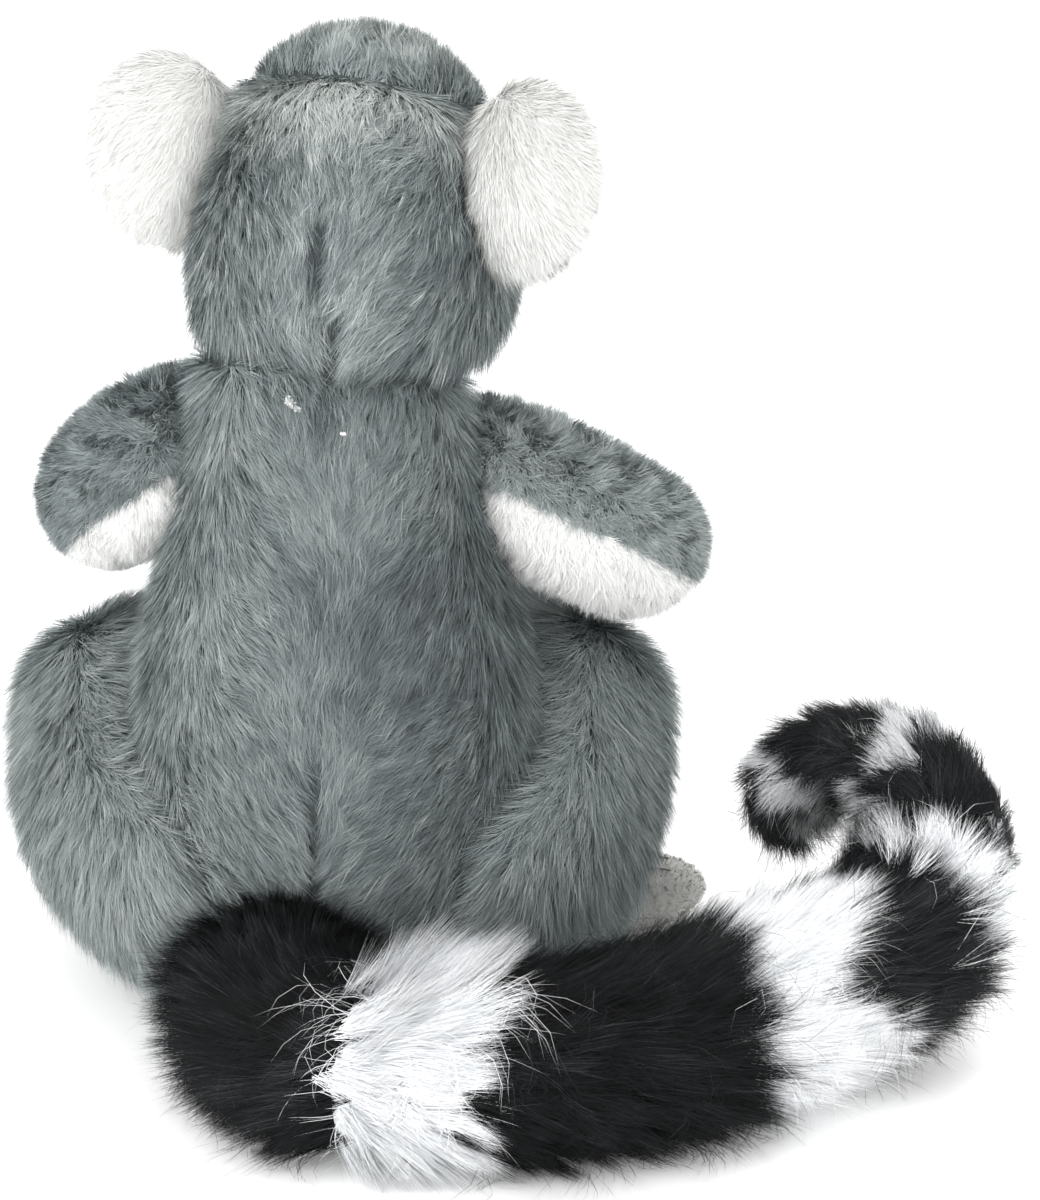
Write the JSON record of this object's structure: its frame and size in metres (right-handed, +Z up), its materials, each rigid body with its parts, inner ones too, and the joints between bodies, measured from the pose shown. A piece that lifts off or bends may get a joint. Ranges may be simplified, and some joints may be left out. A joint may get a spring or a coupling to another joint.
{
  "type": "plush lemur",
  "caption": "Stuffed ring-tailed lemur toy, sitting upright with arms held forward and a long banded tail that lies round behind it and curls up at its tip.",
  "frame": {"origin": "centre of the flat seat under the torso, on the floor that the toy sits on", "axes": "+Z up, the face and the feet point towards -Y, +X is the toy's own left, and the tail sweeps out towards -X"},
  "size_m": [0.2907, 0.217, 0.2804],
  "materials": {
    "grey_plush": "medium pile",
    "crown_plush": "medium pile",
    "arm_plush": "short dense pile",
    "white_plush": "short dense pile",
    "ear_lining_plush": "short dense pile",
    "velour": "very short velour",
    "black_plush": "short dense pile",
    "tail_black": "long loose pile",
    "tail_white": "long loose pile",
    "eye_plastic": "polished",
    "nose_plastic": "polished"
  },
  "bodies": {
    "root": {"arm_left": "arm_plush", "arm_lining_left": "white_plush", "arm_lining_right": "white_plush", "arm_right": "arm_plush", "belly_panel": "white_plush", "crown_panel": "crown_plush", "ear_left": "white_plush", "ear_lining_left": "ear_lining_plush", "ear_lining_right": "ear_lining_plush", "ear_right": "white_plush", "eye_left": "eye_plastic", "eye_patch_left": "black_plush", "eye_patch_right": "black_plush", "eye_right": "eye_plastic", "face_mask": "white_plush", "foot_left": "velour", "foot_right": "velour", "hand_left": "velour", "hand_right": "velour", "head_back": "grey_plush", "leg_left": "grey_plush", "leg_right": "grey_plush", "muzzle": "velour", "nose": "nose_plastic", "tail_black_1": "tail_black", "tail_black_2": "tail_black", "tail_black_3": "tail_black", "tail_black_4": "tail_black", "tail_black_5": "tail_black", "tail_black_6": "tail_black", "tail_white_1": "tail_white", "tail_white_2": "tail_white", "tail_white_3": "tail_white", "tail_white_4": "tail_white", "tail_white_5": "tail_white", "torso": "grey_plush"}
  },
  "joints": []
}
